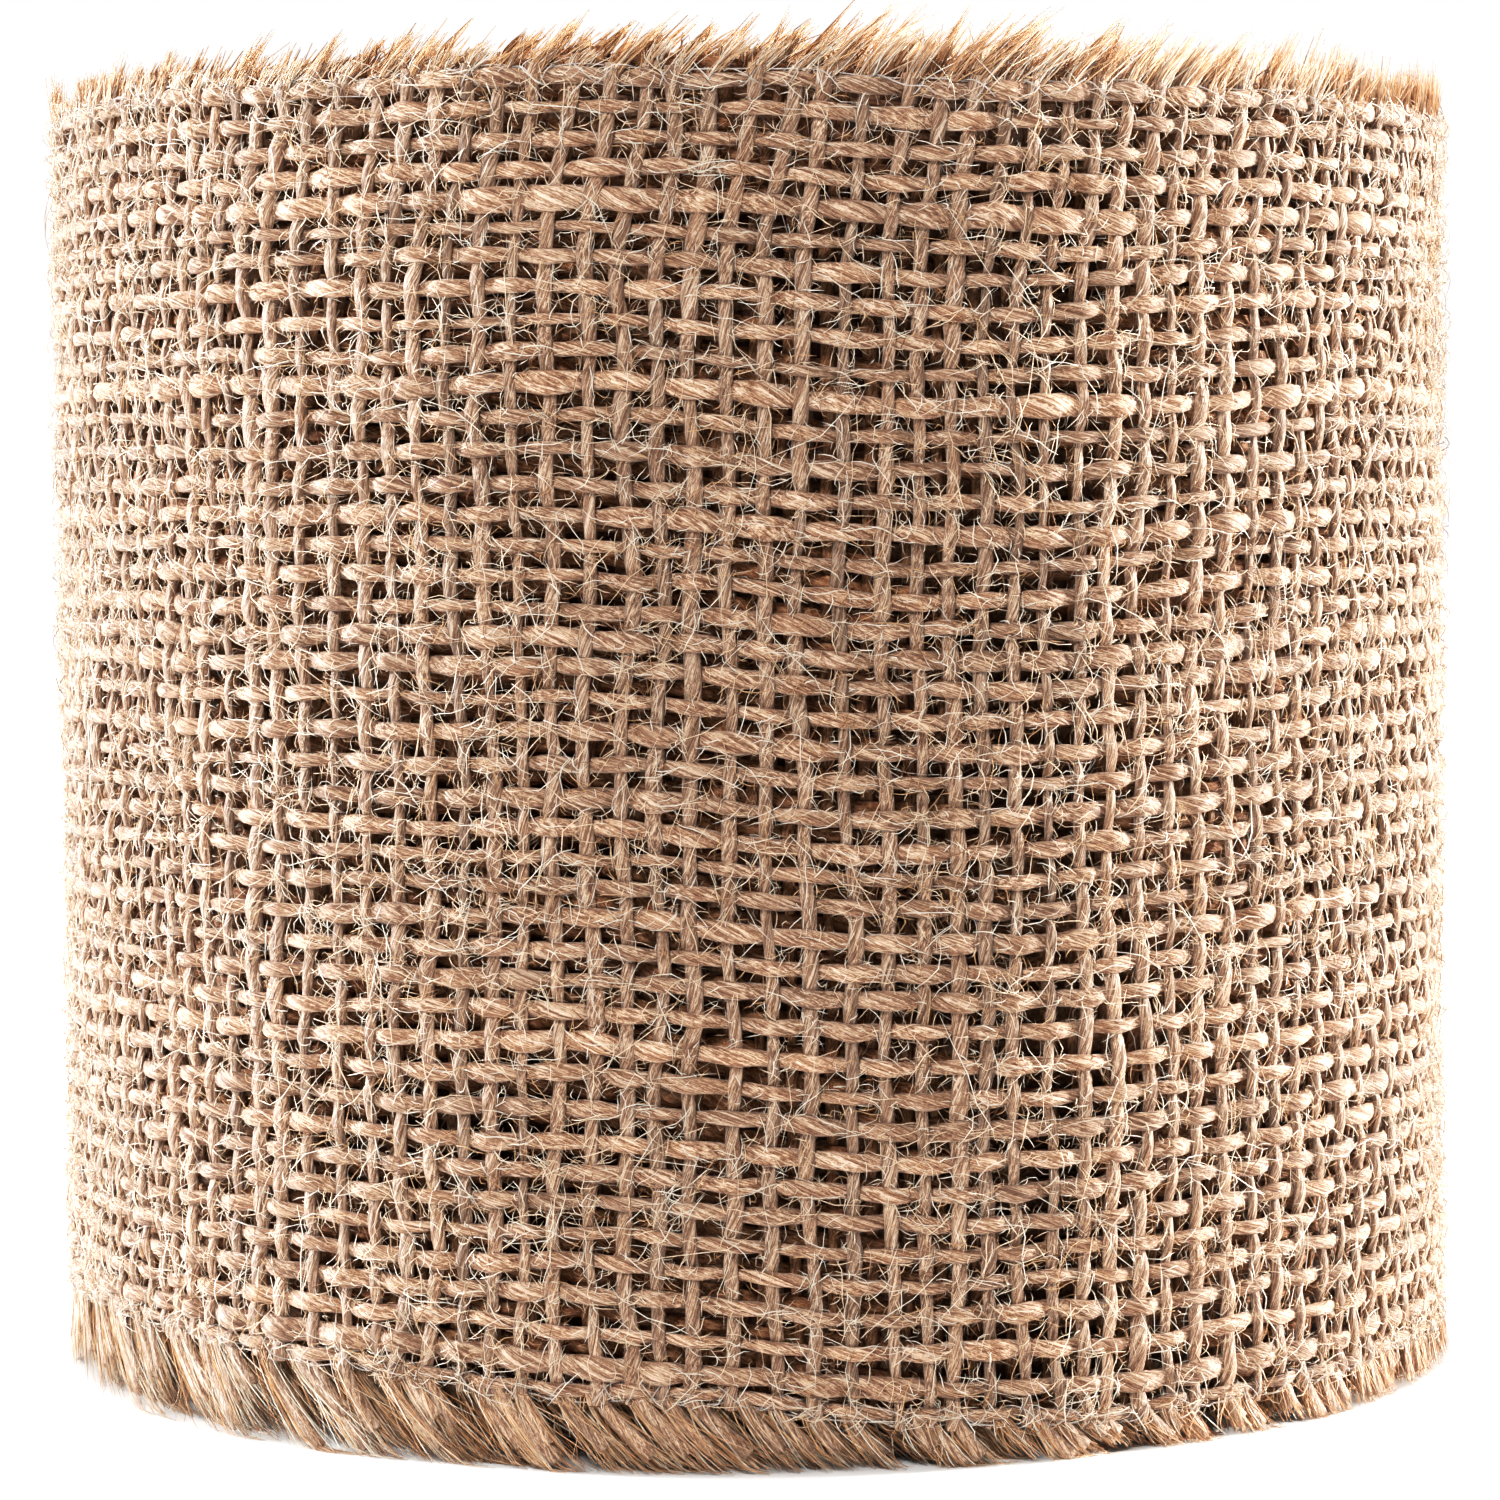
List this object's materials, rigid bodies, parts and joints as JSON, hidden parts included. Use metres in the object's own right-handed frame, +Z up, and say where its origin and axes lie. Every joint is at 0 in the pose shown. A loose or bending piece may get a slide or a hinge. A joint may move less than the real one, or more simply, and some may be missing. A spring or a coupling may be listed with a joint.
{
  "type": "ribbon spool",
  "caption": "Roll of woven jute ribbon with frayed edges, wound on a cardboard core and closed with clear tape; the loose end lifts and the tape peels.",
  "frame": {"origin": "on the cardboard core's axis, at the surface that the roll stands on", "axes": "+Z up along the core's axis; the front is -Y; the ribbon's loose end and its tape are at the back, +Y; +X is to the right seen from the front"},
  "size_m": [0.109, 0.1103, 0.1],
  "materials": {
    "jute_cloth": "coarse plain weave of single twisted jute yarns, matt and hairy",
    "frayed_jute": "loose combed jute fibres, golden, slightly lustrous",
    "binding_thread": "fine pale grey twisted thread",
    "cardboard": "spiral-wound kraft board, matt",
    "start_tape": "double-sided paper tape, matt",
    "clear_tape": "clear adhesive tape, smooth and glossy"
  },
  "bodies": {
    "roll": {"core_inner_ply": "cardboard", "core_middle_ply": "cardboard", "core_outer_ply": "cardboard", "start_tape": "start_tape", "ribbon_windings": "jute_cloth", "top_binding_thread": "binding_thread", "bottom_binding_thread": "binding_thread", "top_fringe": "frayed_jute", "bottom_fringe": "frayed_jute"},
    "tail": {"ribbon_tail": "jute_cloth", "tail_top_binding": "binding_thread", "tail_bottom_binding": "binding_thread", "tail_top_fringe": "frayed_jute", "tail_bottom_fringe": "frayed_jute"},
    "tape": {"end_tape": "clear_tape"}
  },
  "joints": [
    {"name": "tail_lift", "type": "hinge", "parent": "roll", "child": "tail", "pos_m": [0.03172, 0.0453, 0.05], "axis": [0, 0, -1], "range_deg": [0, 80]},
    {"name": "tape_peel", "type": "hinge", "parent": "tail", "child": "tape", "pos_m": [0.00486, 0.05554, 0.05], "axis": [0, 0, -1], "range_deg": [0, 100]}
  ]
}
